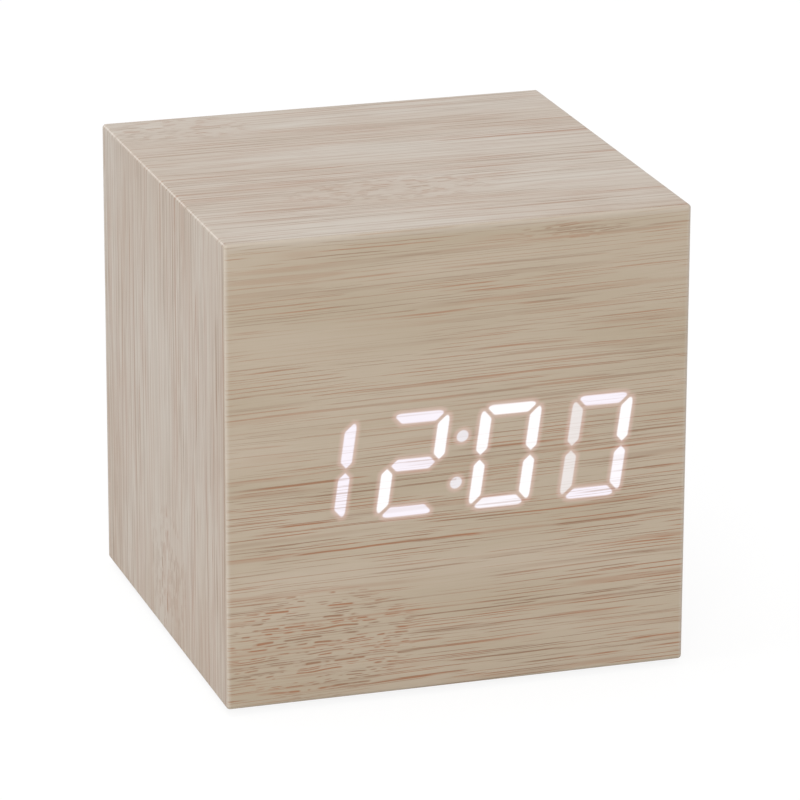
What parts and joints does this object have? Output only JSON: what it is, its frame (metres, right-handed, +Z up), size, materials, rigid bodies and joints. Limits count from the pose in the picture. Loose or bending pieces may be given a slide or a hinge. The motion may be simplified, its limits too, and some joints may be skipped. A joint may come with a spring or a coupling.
{
  "type": "talking cube clock",
  "caption": "Small cube table clock: wood-grain film over boards, slanted lit digits showing through the front, rear cover with buttons, power socket, speaker and battery bay.",
  "frame": {"origin": "middle of the surface the clock stands on, below the middle of the body", "axes": "+X to the right seen from the front, +Y from the front with the digits to the rear cover, +Z up"},
  "size_m": [0.062, 0.06, 0.0628],
  "materials": {
    "wood_grain_film": "satin printed film, pale bamboo grain",
    "lit_film": "film over the lit segments, glowing white",
    "fibreboard": "raw pressed fibreboard",
    "pad_foam": "matt black foam rubber",
    "diffuser_film": "frosted translucent sheet",
    "reflector_plastic": "matt white moulding",
    "light_guide_resin": "clear milky resin",
    "led_body": "small white LED with yellow phosphor",
    "circuit_board": "green solder resist",
    "screw_steel": "zinc plated steel",
    "chip_plastic": "matt black chip moulding with tinned legs",
    "crystal_can": "tinned metal can",
    "capacitor_can": "aluminium can on a black base",
    "resistor_body": "black ceramic with tinned ends",
    "black_plastic": "fine textured black moulding",
    "button_plastic": "smooth black plastic",
    "black_screw": "black oxide steel",
    "switch_body": "black switch housing",
    "switch_stem": "grey switch stem",
    "socket_steel": "bright drawn steel",
    "socket_tongue": "black plastic tongue with gilt contacts",
    "microphone_can": "aluminium can with a black felt face",
    "speaker_plastic": "black moulded frame",
    "magnet_metal": "plated magnet",
    "cone_film": "thin clear amber film",
    "coil_copper": "enamelled copper wire",
    "gasket_foam": "black foam",
    "red_black_wire": "red and black insulated wire",
    "speaker_wire": "grey insulated wire",
    "ribbon_plastic": "grey ribbon cable with one red edge",
    "connector_plastic": "off-white connector shell",
    "contact_nickel": "nickel plated spring steel",
    "cell_wrap": "plain wrapped cell with bare steel ends"
  },
  "bodies": {
    "clock_case": {"front_film": "wood_grain_film", "wrap_film": "wood_grain_film", "lit_segments": "lit_film", "front_panel": "fibreboard", "top_panel": "fibreboard", "bottom_panel": "fibreboard", "left_panel": "fibreboard", "right_panel": "fibreboard", "corner_blocks": "fibreboard", "anti_slip_pads": "pad_foam", "diffuser_sheet": "diffuser_film", "reflector_block": "reflector_plastic", "segment_light_guides": "light_guide_resin", "led_chips": "led_body", "display_board": "circuit_board", "button_board": "circuit_board", "display_board_screws": "screw_steel", "button_board_screws": "screw_steel", "clock_chip": "chip_plastic", "voice_chip": "chip_plastic", "driver_chip": "chip_plastic", "clock_crystal": "crystal_can", "filter_capacitors": "capacitor_can", "chip_resistors": "resistor_body", "rear_cover": "black_plastic", "cover_screws": "black_screw", "set_switch": "switch_body", "up_switch": "switch_body", "down_switch": "switch_body", "usb_socket_shell": "socket_steel", "usb_socket_tongue": "socket_tongue", "microphone": "microphone_can", "speaker_frame": "speaker_plastic", "speaker_magnet": "magnet_metal", "speaker_cone": "cone_film", "voice_coil": "coil_copper", "speaker_gasket": "gasket_foam", "battery_leads": "red_black_wire", "speaker_leads": "speaker_wire", "ribbon_cable": "ribbon_plastic", "ribbon_sockets": "connector_plastic", "positive_contact": "contact_nickel", "negative_contact": "contact_nickel", "left_bridge_contact": "contact_nickel", "right_bridge_contact": "contact_nickel", "lower_battery": "cell_wrap", "middle_battery": "cell_wrap", "upper_battery": "cell_wrap", "lower_battery_spring": "contact_nickel", "middle_battery_spring": "contact_nickel", "upper_battery_spring": "contact_nickel"},
    "battery_door": {"battery_door": "black_plastic"},
    "set_button": {"set_button": "button_plastic", "set_switch_stem": "switch_stem"},
    "up_button": {"up_button": "button_plastic", "up_switch_stem": "switch_stem"},
    "down_button": {"down_button": "button_plastic", "down_switch_stem": "switch_stem"}
  },
  "joints": [
    {"name": "battery_door_lift", "type": "slide", "parent": "clock_case", "child": "battery_door", "axis": [0, 1, 0], "range_m": [0, 0.025]},
    {"name": "set_button_press", "type": "slide", "parent": "clock_case", "child": "set_button", "axis": [0, -1, 0], "range_m": [0, 0.0004], "stiffness_N_per_m": 2000},
    {"name": "up_button_press", "type": "slide", "parent": "clock_case", "child": "up_button", "axis": [0, -1, 0], "range_m": [0, 0.0004], "stiffness_N_per_m": 2000},
    {"name": "down_button_press", "type": "slide", "parent": "clock_case", "child": "down_button", "axis": [0, -1, 0], "range_m": [0, 0.0004], "stiffness_N_per_m": 2000}
  ]
}
